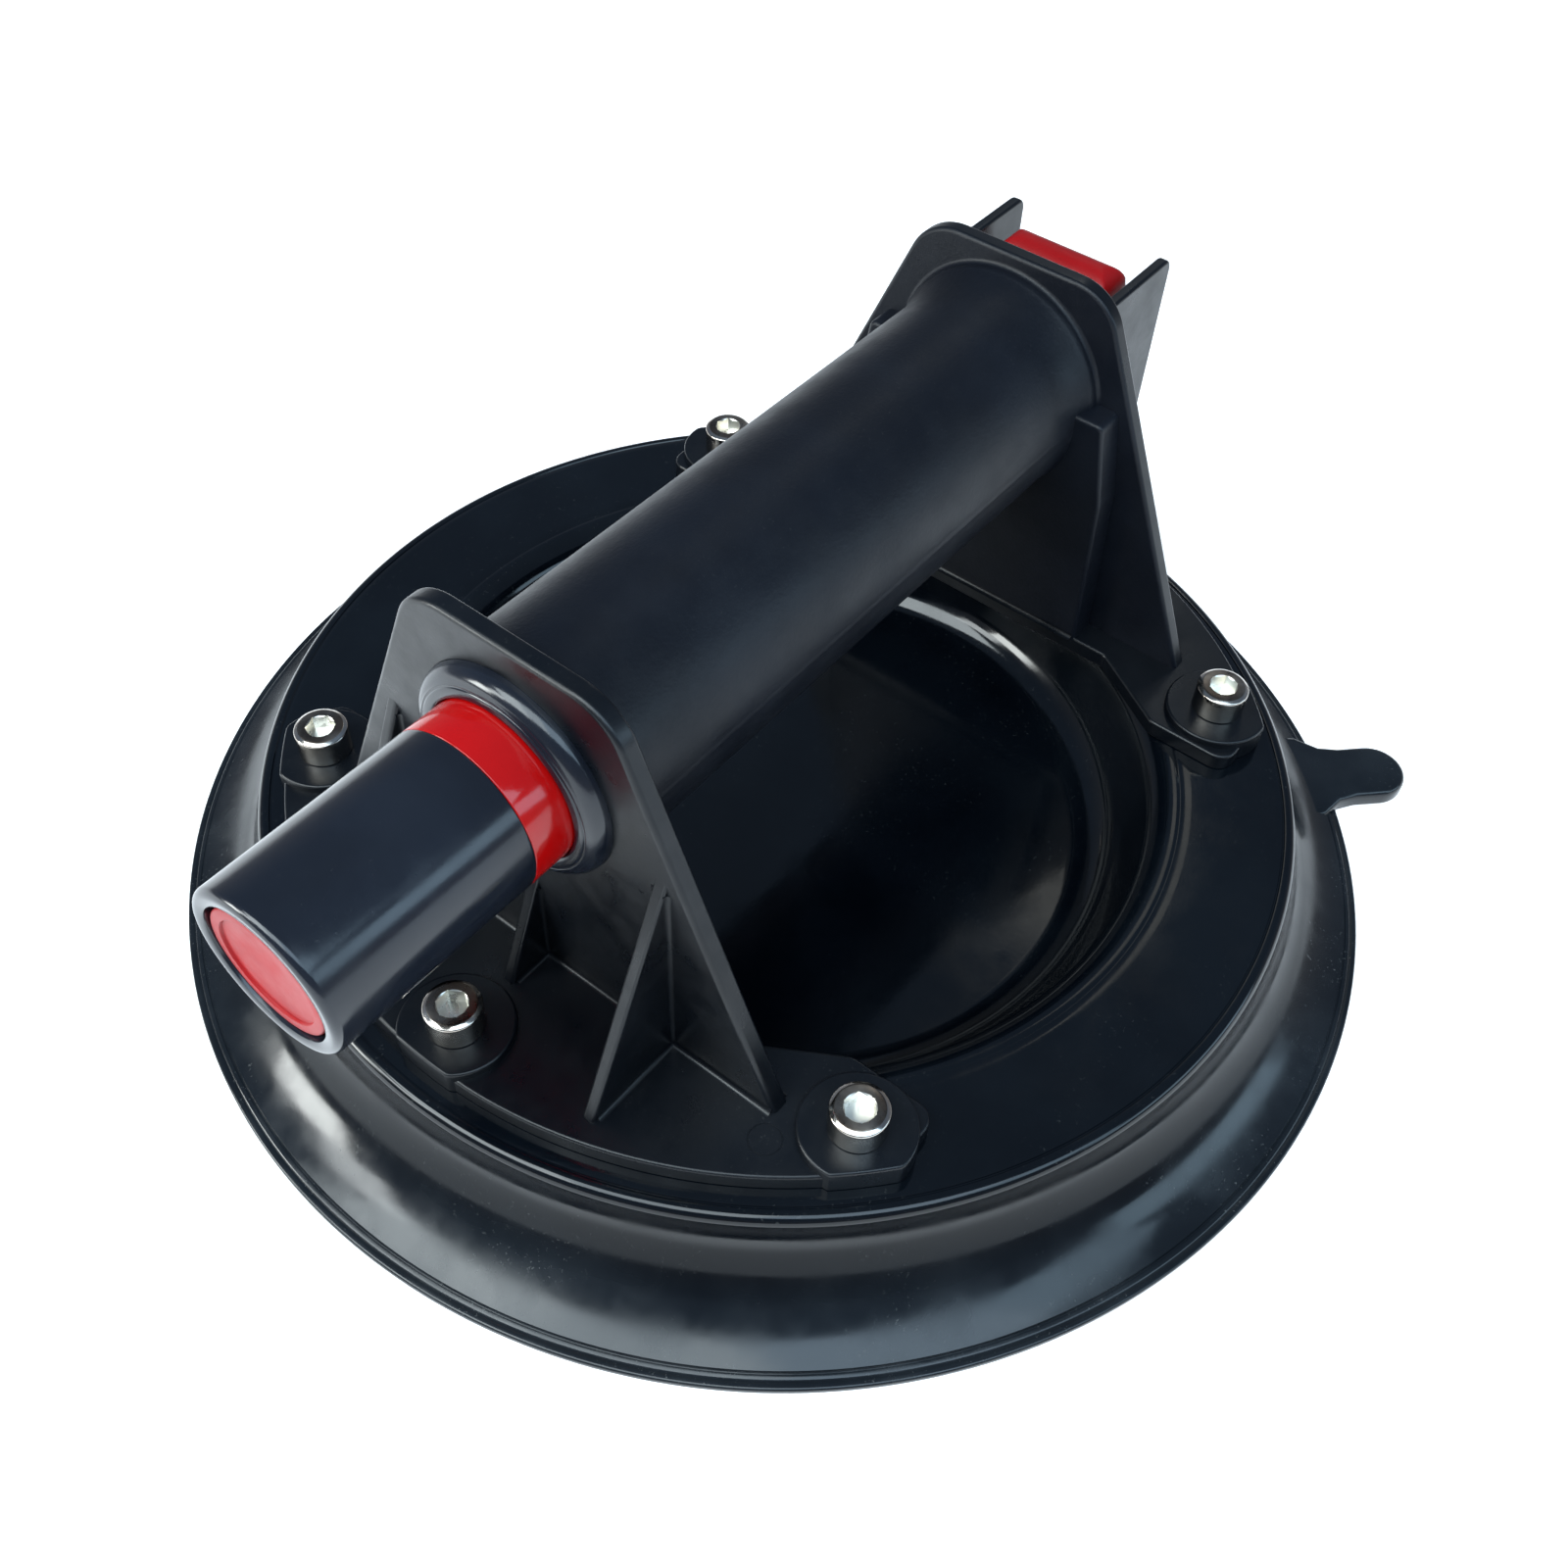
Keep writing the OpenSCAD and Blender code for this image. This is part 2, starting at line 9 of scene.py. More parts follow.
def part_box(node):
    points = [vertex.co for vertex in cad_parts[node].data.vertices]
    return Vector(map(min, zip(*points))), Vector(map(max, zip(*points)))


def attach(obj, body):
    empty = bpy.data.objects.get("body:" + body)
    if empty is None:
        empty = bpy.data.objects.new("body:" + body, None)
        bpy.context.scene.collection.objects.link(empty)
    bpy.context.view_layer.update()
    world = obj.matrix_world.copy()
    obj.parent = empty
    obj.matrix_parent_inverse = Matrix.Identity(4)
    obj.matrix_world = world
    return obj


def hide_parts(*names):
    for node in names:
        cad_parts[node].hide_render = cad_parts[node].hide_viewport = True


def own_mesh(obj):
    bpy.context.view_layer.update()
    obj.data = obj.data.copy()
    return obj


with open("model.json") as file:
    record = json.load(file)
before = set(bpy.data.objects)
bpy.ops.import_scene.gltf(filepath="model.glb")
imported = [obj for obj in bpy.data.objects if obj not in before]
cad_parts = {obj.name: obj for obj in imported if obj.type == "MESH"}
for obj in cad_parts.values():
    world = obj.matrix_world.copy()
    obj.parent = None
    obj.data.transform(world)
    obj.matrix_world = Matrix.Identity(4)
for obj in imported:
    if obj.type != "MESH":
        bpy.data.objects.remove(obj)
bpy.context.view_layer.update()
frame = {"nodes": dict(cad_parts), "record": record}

nodes = frame["nodes"]


# ---------------------------------------------------------------- driving sizes, in millimetres

MM = 0.001


def extent(node, axis):
    """How far a CAD node reaches along an axis (0, 1 or 2), to a tenth of a millimetre."""
    low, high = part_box(node)
    return round(low[axis] / MM, 1), round(high[axis] / MM, 1)


def middle(node, axis):
    """The middle of a CAD node along an axis."""
    return round(sum(extent(node, axis)) / 2, 2)


AXIS_Z = middle("gland_collar", 2)      # height of the grip's and the plunger's common axis
PIN_X, PIN_Z = middle("lever_pin", 0), middle("lever_pin", 2)
PORT_X = middle("port_seal", 0)         # the air port from the pad into the handle
LIP_R = extent("suction_pad", 0)[1]
PAD_TOP = extent("suction_pad", 2)[1]   # the pad's flat shoulder, which the handle stands on
HANDLE_TOP = extent("handle_frame", 2)[1]
TUBE_R = 17.3                           # the grip
FRONT_OUT, FRONT_IN = -56, -53          # faces of the bracket plate at the plunger's end
REAR_IN, REAR_OUT = 55, 58              # faces of the bracket plate at the lever's end
PEDESTAL_IN = 49.95                     # inner face of the block inside the rear plate
FOOT_TOP = 24
BOSS_TOP = 25.4                         # the pads under the screw heads
SUNK = 22.4                             # where the plates start, inside the feet
FIN_Y = (13, 15)                        # side faces of a guard fin, from the middle
PLATE_HALF = (43.2, 16.6)               # half widths of the bracket plates, low and high
RIBS = ((-24, 72.6, 61), (24, 72.6, 61), (0, 63.6, 42))   # place across, reach of the toe, height
SCREW_CIRCLE, SCREW_STEP = 73.5, 46.5   # radius, and degrees from one screw to the next
SCREWS = [(SCREW_CIRCLE * math.cos(math.radians(side + k * SCREW_STEP)),
           SCREW_CIRCLE * math.sin(math.radians(side + k * SCREW_STEP)))
          for side in (0, 180) for k in (-1, 0, 1)]


# ---------------------------------------------------------------- camera

def look():
    """The studio camera: above, in front of the plunger and to its right."""
    azimuth, elevation, roll = math.radians(-53.66), math.radians(49.70), math.radians(2.64)
    aside, rise, distance = 0.86, 6.90, 282.45
    back = Vector((math.sin(azimuth) * math.cos(elevation),
                   -math.cos(azimuth) * math.cos(elevation),
                   math.sin(elevation)))
    right = Vector((math.cos(azimuth), math.sin(azimuth), 0))
    up = back.cross(right)
    x = math.cos(roll) * right + math.sin(roll) * up
    y = -math.sin(roll) * right + math.cos(roll) * up
    place = (aside * right + rise * up + distance * back) * MM
    data = bpy.data.cameras.new("camera")
    data.lens, data.sensor_width = 36.742, 36.0
    data.clip_start, data.clip_end = 0.01, 20
    cam = bpy.data.objects.new("camera", data)
    turn = Matrix((x, y, back)).transposed().to_4x4()
    cam.matrix_world = Matrix.Translation(place) @ turn
    bpy.context.scene.collection.objects.link(cam)
    bpy.context.scene.camera = cam


look()
bpy.context.scene.view_settings.view_transform = "Standard"


# ---------------------------------------------------------------- shapes, in millimetres

def arc(cx, cy, r, a0, a1, steps):
    """Points round an arc, from a0 to a1 degrees."""
    angles = [math.radians(a0 + (a1 - a0) * k / steps) for k in range(steps + 1)]
    return [(cx + r * math.cos(a), cy + r * math.sin(a)) for a in angles]


def moved(profile, by):
    """A profile, moved along its axis."""
    return [(r, h + by) for r, h in profile]


def rounded(points, radius, steps):
    """A polygon with its corners as arcs. radius is one number, or one for each corner."""
    share = 0.49    # the most of a side that one arc may take
    out, n = [], len(points)
    for i, p in enumerate(points):
        r = radius[i] if isinstance(radius, (list, tuple)) else radius
        c = Vector(p)
        a, b = Vector(points[i - 1]) - c, Vector(points[(i + 1) % n]) - c
        half = a.angle(b) / 2
        if r < 1e-6 or half > math.pi / 2 - 0.01:
            out.append((c.x, c.y))
            continue
        t = min(r / math.tan(half), share * a.length, share * b.length)
        r = t * math.tan(half)
        a.normalize()
        b.normalize()
        centre = c + (a + b).normalized() * (r / math.sin(half))
        start, end = c + a * t - centre, c + b * t - centre
        a0 = math.atan2(start.y, start.x)
        da = (math.atan2(end.y, end.x) - a0 + math.pi) % (2 * math.pi) - math.pi
        for k in range(steps + 1):
            w = a0 + da * k / steps
            out.append((centre.x + r * math.cos(w), centre.y + r * math.sin(w)))
    return out


def inset(outline, d):
    """The outline, counterclockwise, moved inwards by d."""
    longest = 1.6   # how far a sharp corner may move, over d
    if abs(d) < 1e-9:
        return [tuple(p) for p in outline]
    out, n = [], len(outline)
    for i in range(n):
        p, c, q = Vector(outline[i - 1]), Vector(outline[i]), Vector(outline[(i + 1) % n])
        e, f = (c - p).normalized(), (q - c).normalized()
        m = Vector((-e.y, e.x)) + Vector((-f.y, f.x))
        m = m * (2 / m.length_squared)
        if m.length > longest:
            m = m.normalized() * longest
        out.append(tuple(c + m * d))
    return out


def area(outline):
    """Above zero when the outline runs counterclockwise."""
    return sum(outline[i - 1][0] * p[1] - p[0] * outline[i - 1][1] for i, p in enumerate(outline)) / 2


def mesh_of(name, verts, faces):
    """An object from points in millimetres, with its faces turned outwards."""
    me = bpy.data.meshes.new(name)
    me.from_pydata([(v[0] * MM, v[1] * MM, v[2] * MM) for v in verts], [], faces)
    me.update()
    ob = bpy.data.objects.new(name, me)
    bpy.context.scene.collection.objects.link(ob)
    bm = bmesh.new()
    bm.from_mesh(me)
    bmesh.ops.recalc_face_normals(bm, faces=bm.faces)
    bm.to_mesh(me)
    bm.free()
    return ob


def slab(name, outline, w0, w1, place, low=0.0, high=0.0, steps=4):
    """A plate from an outline, between w0 and w1, with its rims rounded by low and high."""
    if area(outline) < 0:
        outline = outline[::-1]
    levels = []
    for k in range(steps + 1 if low else 1):
        a = math.pi / 2 * k / steps if low else math.pi / 2
        levels.append((low * (1 - math.sin(a)), w0 + low * (1 - math.cos(a)) if low else w0))
    for k in range(steps + 1 if high else 1):
        a = math.pi / 2 * k / steps if high else 0
        levels.append((high * (1 - math.cos(a)), w1 - high * (1 - math.sin(a)) if high else w1))
    verts, n = [], len(outline)
    for d, w in levels:
        verts += [place(u, v, w) for u, v in inset(outline, d)]
    faces = [tuple(range(n))[::-1]]
    for k in range(len(levels) - 1):
        for i in range(n):
            j = (i + 1) % n
            faces.append((k * n + i, k * n + j, (k + 1) * n + j, (k + 1) * n + i))
    faces.append(tuple(range((len(levels) - 1) * n, len(levels) * n)))
    return mesh_of(name, verts, faces)


# how a slab stands: its outline across x, across y, or flat with its thickness upwards
def across_x(u, v, w):
    return (w, u, v)


def across_y(u, v, w):
    return (u, w, v)


def upright(u, v, w):
    return (u, v, w)


def lathe(name, profile, steps, place=upright, closed=False, bend=None):
    """A turned solid from (radius, height) points. An open profile starts and ends on the axis.

    place turns (across, across, height) into a point. bend(radius, angle) may change a point's radius."""
    verts, rings = [], []
    for r, h in profile:
        if r < 1e-6:
            rings.append([len(verts)])
            verts.append(place(0, 0, h))
            continue
        ring = []
        for i in range(steps):
            a = 2 * math.pi * i / steps
            rr = bend(r, a) if bend else r
            ring.append(len(verts))
            verts.append(place(rr * math.cos(a), rr * math.sin(a), h))
        rings.append(ring)
    faces = []
    for p, q in zip(rings, rings[1:] + (rings[:1] if closed else [])):
        for i in range(steps):
            j = (i + 1) % steps
            if len(p) == 1:
                faces.append((p[0], q[j], q[i]))
            elif len(q) == 1:
                faces.append((p[i], p[j], q[0]))
            else:
                faces.append((p[i], p[j], q[j], q[i]))
    return mesh_of(name, verts, faces)


def along_x(a, b, h):
    return (h, a, AXIS_Z + b)


def rod_x(x0, x1, r, steps=96):
    """A rod along the grip's axis."""
    return lathe("cut", [(0, x0), (r, x0), (r, x1), (0, x1)], steps, along_x)


def rod_y(x, z, half, r, steps=64):
    """A rod across the object, centred on its middle plane."""
    profile = [(0, -half), (r, -half), (r, half), (0, half)]
    return lathe("cut", profile, steps, lambda a, b, h: (x + a, h, z + b))


def rod_z(x, y, z0, z1, r, steps=64):
    """An upright rod."""
    profile = [(0, z0), (r, z0), (r, z1), (0, z1)]
    return lathe("cut", profile, steps, lambda a, b, h: (x + a, y + b, h))


def combine(ob, others, operation="UNION"):
    """Join the others to ob, or cut them from it. They are used up."""
    for o in others:
        m = ob.modifiers.new("join", "BOOLEAN")
        m.object, m.operation, m.solver = o, operation, "MANIFOLD"
    dg = bpy.context.evaluated_depsgraph_get()
    made = bpy.data.meshes.new_from_object(ob.evaluated_get(dg))
    ob.modifiers.clear()
    old, ob.data = ob.data, made
    made.name = ob.name
    bpy.data.meshes.remove(old)
    for o in others:
        bpy.data.objects.remove(o)
    return ob


def smooth(ob, angle, weighted=False):
    """Smooth shading, with creases kept above the angle. weighted keeps large faces flat."""
    bm = bmesh.new()
    bm.from_mesh(ob.data)
    bmesh.ops.remove_doubles(bm, verts=bm.verts, dist=2e-6)
    bmesh.ops.dissolve_degenerate(bm, edges=bm.edges, dist=1e-6)
    for f in bm.faces:
        f.smooth = True
    for e in bm.edges:
        e.smooth = len(e.link_faces) == 2 and e.calc_face_angle(0) < math.radians(angle)
    bm.to_mesh(ob.data)
    bm.free()
    if weighted:
        m = ob.modifiers.new("normals", "WEIGHTED_NORMAL")
        m.keep_sharp, m.weight = True, 80
    return ob


def piece(ob, name, body, slot, stands_for, finish=None):
    """Make ob a finished piece that rides on a body and stands for a CAD node.

    Its material is its slot's, or another of the MATS as its finish."""
    ob.name = name
    ob.data.name = name
    ob.data.materials.clear()
    ob.data.materials.append(MATS[finish or slot])
    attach(ob, body)
    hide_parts(stands_for)
    return ob


# ---------------------------------------------------------------- materials

class Nodes:
    """A material's node tree, with short calls for its parts."""

    def __init__(self, name):
        self.mat = bpy.data.materials.new(name)
        self.mat.use_nodes = True
        self.tree = self.mat.node_tree
        self.shader = self.tree.nodes["Principled BSDF"]
        self.coords = self.tree.nodes.new("ShaderNodeTexCoord").outputs["Object"]

    def link(self, a, b):
        self.tree.links.new(a, b)

    def noise(self, scale, detail=3, rough=0.5, stretch=None):
        n = self.tree.nodes.new("ShaderNodeTexNoise")
        n.inputs["Scale"].default_value = scale
        n.inputs["Detail"].default_value = detail
        n.inputs["Roughness"].default_value = rough
        where = self.coords
        if stretch:
            m = self.tree.nodes.new("ShaderNodeMapping")
            m.inputs["Scale"].default_value = stretch
            self.link(where, m.inputs["Vector"])
            where = m.outputs["Vector"]
        self.link(where, n.inputs["Vector"])
        return n.outputs["Fac"]

    def span(self, value, low, high, to_low=0.0, to_high=1.0):
        """Turn low to high into to_low to to_high, with soft ends."""
        n = self.tree.nodes.new("ShaderNodeMapRange")
        n.interpolation_type = "SMOOTHSTEP"
        for key, v in (("From Min", low), ("From Max", high), ("To Min", to_low), ("To Max", to_high)):
            n.inputs[key].default_value = v
        self.link(value, n.inputs["Value"])
        return n.outputs["Result"]

    def math(self, kind, a, b):
        n = self.tree.nodes.new("ShaderNodeMath")
        n.operation = kind
        for k, v in enumerate((a, b)):
            if isinstance(v, (int, float)):
                n.inputs[k].default_value = v
            else:
                self.link(v, n.inputs[k])
        return n.outputs[0]

    def mix(self, amount, a, b):
        n = self.tree.nodes.new("ShaderNodeMix")
        n.data_type = "RGBA"
        self.link(amount, n.inputs["Factor"])
        for key, v in (("A", a), ("B", b)):
            sock = [s for s in n.inputs if s.name == key and s.type == "RGBA"][0]
            if isinstance(v, tuple):
                sock.default_value = (*v, 1)
            else:
                self.link(v, sock)
        return [s for s in n.outputs if s.type == "RGBA"][0]

    def bump(self, height, strength, distance, onto=None):
        n = self.tree.nodes.new("ShaderNodeBump")
        n.inputs["Strength"].default_value = strength
        n.inputs["Distance"].default_value = distance
        self.link(height, n.inputs["Height"])
        if onto is not None:
            self.link(onto, n.inputs["Normal"])
        return n.outputs["Normal"]

    def axis(self, key):
        n = self.tree.nodes.new("ShaderNodeSeparateXYZ")
        self.link(self.coords, n.inputs[0])
        return n.outputs[key]

    def radius(self):
        """Distance from the pad's axis, in metres."""
        x, y = self.axis("X"), self.axis("Y")
        squares = self.math("ADD", self.math("MULTIPLY", x, x), self.math("MULTIPLY", y, y))
        return self.math("SQRT", squares, 0)

    def facing_up(self):
        g = self.tree.nodes.new("ShaderNodeNewGeometry")
        n = self.tree.nodes.new("ShaderNodeSeparateXYZ")
        self.link(g.outputs["True Normal"], n.inputs[0])
        return n.outputs["Z"]

    def set(self, **values):
        for key, v in values.items():
            sock = self.shader.inputs[key.replace("_", " ")]
            if isinstance(v, tuple):
                sock.default_value = (*v, 1)
            elif isinstance(v, (int, float)):
                sock.default_value = v
            else:
                self.link(v, sock)


def plastic(name, dark, light, rough, grain, grain_scale=2500, wave=0.0, dust=0.0, shine=0.5):
    """Moulded plastic: cloudy colour, uneven gloss, fine grain, slow waves and dust on what faces up."""
    n = Nodes(name)
    cloud = n.span(n.noise(55, 4), 0.35, 0.68)
    colour = n.mix(cloud, dark, light)
    gloss = n.span(n.noise(140, 5, 0.6), 0.3, 0.72, rough[0], rough[1])
    smear = n.span(n.noise(260, 3, 0.6, (0.25, 1, 1)), 0.5, 0.8, 0, 0.05)
    gloss = n.math("ADD", gloss, smear)
    if dust:
        specks = n.span(n.noise(1900, 2, 0.6), 0.66, 0.74)
        patch = n.span(n.noise(70, 3), 0.4, 0.65)
        up = n.span(n.facing_up(), 0.3, 0.9)
        amount = n.math("MULTIPLY", n.math("MULTIPLY", specks, patch), n.math("MULTIPLY", up, dust))
        colour = n.mix(amount, colour, (0.2, 0.2, 0.19))
        gloss = n.math("ADD", gloss, n.math("MULTIPLY", amount, 0.5))
    slow = n.bump(n.noise(28, 2), wave, 0.002) if wave else None
    fine = n.bump(n.noise(grain_scale, 3, 0.55), grain, 0.00012, slow)
    n.set(Base_Color=colour, Roughness=gloss, Specular_IOR_Level=shine, Normal=fine)
    return n.mat


def metal(name, dark, light, rough, brushed=None, bump=0.05):
    """Metal with cloudy tint, uneven gloss and fine turning marks."""
    n = Nodes(name)
    colour = n.mix(n.span(n.noise(160, 4), 0.35, 0.7), dark, light)
    gloss = n.span(n.noise(420, 4, 0.6), 0.3, 0.75, rough[0], rough[1])
    marks = n.noise(1200, 2, 0.5, brushed) if brushed else n.noise(1500, 3)
    n.set(Base_Color=colour, Roughness=gloss, Metallic=1.0, Normal=n.bump(marks, bump, 0.0001))
    return n.mat


def felt(name, dark, light):
    """Matt fibres."""
    n = Nodes(name)
    fibre = n.noise(2600, 6, 0.7, (1, 1, 0.3))
    n.set(
        Base_Color=n.mix(fibre, dark, light), Roughness=0.95,
        Normal=n.bump(fibre, 0.6, 0.0003),
    )
    return n.mat


def pad_material():
    """Glossy moulded rubber: faint bloom, wavy reflections, and dust that gathers on the thin lip."""
    n = Nodes("pad_rubber")
    r = n.radius()
    cloud = n.span(n.noise(38, 5, 0.6), 0.35, 0.7)
    colour = n.mix(cloud, (0.0008, 0.0016, 0.0030), (0.0022, 0.0036, 0.0056))
    gloss = n.span(n.noise(90, 5, 0.6), 0.32, 0.7, 0.07, 0.17)
    rim = n.span(r, 0.084, 0.094)
    bloom = n.math("MULTIPLY", n.span(n.noise(45, 4, 0.55), 0.34, 0.74, 0.3, 1.0), rim)
    colour = n.mix(n.math("MULTIPLY", bloom, 0.4), colour, (0.026, 0.032, 0.038))
    gloss = n.math("ADD", gloss, n.math("MULTIPLY", bloom, 0.16))
    specks = n.span(n.noise(1500, 3, 0.7), 0.63, 0.70)
    patch = n.span(n.noise(60, 3), 0.42, 0.66)
    amount = n.math("MULTIPLY", n.math("MULTIPLY", specks, patch), n.span(r, 0.080, 0.095, 0.12, 0.5))
    colour = n.mix(amount, colour, (0.13, 0.135, 0.13))
    gloss = n.math("ADD", gloss, n.math("MULTIPLY", amount, 0.4))
    slow = n.bump(n.noise(17, 2), 0.07, 0.004)
    ripple = n.bump(n.noise(110, 2), 0.02, 0.001, slow)
    fine = n.bump(n.noise(1600, 3), 0.03, 0.0001, ripple)
    # the steep part of the wall is duller than the rest
    steep = n.math("MULTIPLY", n.span(r, 0.0851, 0.0860), n.span(r, 0.0890, 0.0915, 1, 0))
    n.set(Base_Color=colour, Roughness=gloss, Normal=fine, Specular_IOR_Level=n.span(steep, 0, 1, 0.42, 0.2))
    return n.mat


MATS = {
    "pad_rubber": pad_material(),
    "handle_plastic": plastic(
        "handle_plastic", (0.0012, 0.0020, 0.0036), (0.0026, 0.0038, 0.0060), (0.26, 0.40),
        grain=0.08, grain_scale=1800, wave=0.06, dust=0.06, shine=0.38),
    "grip_plastic": plastic(
        "grip_plastic", (0.0022, 0.0032, 0.0062), (0.0042, 0.0058, 0.0100), (0.40, 0.50),
        grain=0.35, grain_scale=1500, wave=0.03, dust=0.05, shine=0.3),
    "cap_plastic": plastic(
        "cap_plastic", (0.0065, 0.0082, 0.0130), (0.0095, 0.0120, 0.0185), (0.13, 0.21),
        grain=0.05, grain_scale=2200, wave=0.03, dust=0.04),
    "red_plastic": plastic(
        "red_plastic", (0.39, 0.002, 0.002), (0.45, 0.004, 0.004), (0.07, 0.14),
        grain=0.05, grain_scale=1500, wave=0.04, dust=0.06),
    "disc_plastic": plastic(
        "disc_plastic", (0.27, 0.008, 0.010), (0.32, 0.012, 0.014), (0.34, 0.46),
        grain=0.1, grain_scale=1500, wave=0.04, dust=0.06, shine=0.12),
    "lever_plastic": plastic(
        "lever_plastic", (0.31, 0.003, 0.004), (0.37, 0.005, 0.007), (0.36, 0.48),
        grain=0.2, grain_scale=1700, wave=0.03, dust=0.05, shine=0.25),
    "white_plastic": plastic(
        "white_plastic", (0.70, 0.69, 0.65), (0.80, 0.79, 0.75), (0.35, 0.5), grain=0.1),
    "seal_rubber": plastic(
        "seal_rubber", (0.010, 0.010, 0.011), (0.02, 0.02, 0.021), (0.5, 0.65), grain=0.15),
    "stainless": metal("stainless", (0.46, 0.41, 0.36), (0.66, 0.63, 0.59), (0.10, 0.22)),
    # painted highlight: a brighter steel for the screw sockets, standing in for skylight caught inside them
    "socket_painted_highlight_steel": metal("socket_painted_highlight_steel", (0.72, 0.69, 0.62), (0.86, 0.84, 0.79), (0.26, 0.40)),
    # painted dark reflection: a dark brown steel for the tops of the screw heads, standing in for the dark
    # surroundings they mirror
    "head_top_painted_reflection_steel": metal("head_top_painted_reflection_steel", (0.13, 0.10, 0.08), (0.42, 0.36, 0.30), (0.24, 0.42)),
    "plated_steel": metal("plated_steel", (0.45, 0.45, 0.46), (0.60, 0.60, 0.58), (0.22, 0.38)),
    "spring_steel": metal("spring_steel", (0.38, 0.38, 0.40), (0.52, 0.52, 0.52), (0.25, 0.4)),
    "barrel_aluminium": metal(
        "barrel_aluminium", (0.62, 0.63, 0.65), (0.74, 0.75, 0.76), (0.2, 0.34),
        brushed=(0.1, 1, 1), bump=0.08),
    "brass": metal(
        "brass", (0.62, 0.42, 0.16), (0.78, 0.57, 0.26), (0.2, 0.35), brushed=(1, 0.1, 0.1), bump=0.08),
    "filter_felt": felt("filter_felt", (0.52, 0.49, 0.42), (0.76, 0.73, 0.66)),
}


# ---------------------------------------------------------------- pad

def pad_profile():
    """The pad's section from the middle of its underside, out to the lip and back over the top."""
    middle_z, channel_z = 2, 10.5       # the underside's flat middle, and the channel round it
    under = [(0, middle_z), (20, middle_z), (40, middle_z)]
    under += rounded([(30, middle_z), (56, middle_z), (61.5, channel_z), (79, channel_z),
                      (81.5, 6), (91.5, 0), (96, 0)],
                     [0, 1.5, 1.2, 1.2, 2, 3, 0], 4)[1:-1]
    under += [(93.5, 0), (96, 0), (98.5, 0)]
    lip = arc(LIP_R - 0.6, 0.6, 0.6, -90, 0, 4) + arc(LIP_R - 0.45, 1.05, 0.45, 0, 90, 4)
    # two fine moulding lines run round the lip
    lip += [(99.3, 1.54), (99.15, 1.55), (99.0, 1.47), (98.85, 1.47), (98.7, 1.70), (98.5, 1.77),
            (98.2, 1.87), (98.05, 1.90), (97.95, 1.84), (97.8, 1.88), (97.65, 2.12)]
    # the lip runs up into the wall, which leans in and ends in the shoulder's rounded edge
    blend = arc(106.22, 24.75, 24, 249, 230, 16)
    wall = arc(101.4, 19, 16.5, 230, 183, 30)[1:]
    edge = arc(83.3, PAD_TOP - 1.6, 1.6, 0, 78, 10)
    # fine grooves near both edges of the flat shoulder
    outer_groove = [(83.3, 20.99), (82.95, 20.96), (82.8, 20.80), (82.6, 20.80), (82.5, 20.93)]
    shoulder = [(r, PAD_TOP) for r in (82.2, 81.5, 77, 72, 68, 66.4)]
    inner_groove = [(66.2, 20.93), (65.95, 20.93), (65.8, 20.99)]
    # over the inner edge and down into the dish
    rim = arc(65.5, PAD_TOP - 5, 5, 90, 158, 12)
    slope = [(60.1, 16.0), (58.9, 13.0)]
    foot = arc(50.27, 13.0, 8, -22, -90, 18)
    floor = [(48, 4.97), (40, 4.82), (30, 4.66), (20, 4.48), (10, 4.3), (4, 4.22), (0, 4.2)]
    return (under + lip + blend + wall + edge + outer_groove + shoulder + inner_groove
            + rim + slope + foot + floor)


def pull_tab():
    """The tab for lifting the lip, 45 degrees from the lever's end."""
    half, reach, turn = 5.7, 114.6, math.radians(-45)
    side = [(91, -half * 1.75), (97, -half * 1.6), (100.6, -half * 1.12), (104, -half)]
    outline = side + arc(reach - half, 0, half, -90, 90, 20) + [(u, -v) for u, v in side[::-1]]

    def place(u, v, w):
        return (u * math.cos(turn) - v * math.sin(turn), u * math.sin(turn) + v * math.cos(turn), w)

    return slab("tab", outline, 0.02, 3.2, place, 0.4, 1.1, 5)


def make_pad():
    """The pad with the spaces for its steel ring, the nuts, the air port and the filter."""
    pad = lathe("pad", pad_profile(), 300)
    boss = rod_z(PORT_X, 0, 10.6, PAD_TOP - 0.01, 4.5)
    combine(pad, [pull_tab(), boss])
    ring_low, ring_high = extent("backing_ring", 2)
    ring_r = extent("backing_ring", 0)[1]
    filter_r, filter_top = extent("intake_filter", 1)[1], extent("intake_filter", 2)[1]
    ring = rod_z(0, 0, ring_low, ring_high, ring_r, 180)
    combine(ring, [rod_z(0, 0, ring_low - 1, ring_high + 1, 68, 180)], "DIFFERENCE")
    nuts = [rod_z(x, y, ring_high - 0.1, PAD_TOP + 1, 4.6, 32) for x, y in SCREWS]
    port = [rod_z(PORT_X, 0, 0, PAD_TOP + 1, 1.5, 32), rod_z(PORT_X, 0, 9, filter_top, filter_r, 32)]
    combine(pad, [ring] + nuts + port, "DIFFERENCE")
    smooth(pad, 38)
    return piece(pad, "pad", "base", "pad_rubber", "suction_pad")


# ---------------------------------------------------------------- handle

def grip_tube():
    """The grip: filleted into the front plate, flared at the rear, with a fine seam along both sides."""
    fillet, flare = 1.4, 20.6
    profile = [(0, FRONT_OUT + 1), (TUBE_R + fillet, FRONT_OUT + 1)]
    profile += arc(TUBE_R + fillet, FRONT_IN + fillet, fillet, -90, -180, 5)
    profile += [(TUBE_R, x) for x in (-40, -20, 0, 20, 40)]
    profile += arc(TUBE_R + flare, 46, flare, 180, 159.6, 10) + [(18.72, 53.4)]
    profile += arc(19.55, 54.2, 0.8, 180, 90, 4) + [(19.55, REAR_IN + 1), (0, REAR_IN + 1)]

    def seam(r, angle):
        height = 0.09 * math.exp(-(math.sin(angle) / 0.012) ** 2)
        return r + height if abs(r - TUBE_R) < 0.01 else r

    return lathe("handle", profile, 256, along_x, bend=seam)


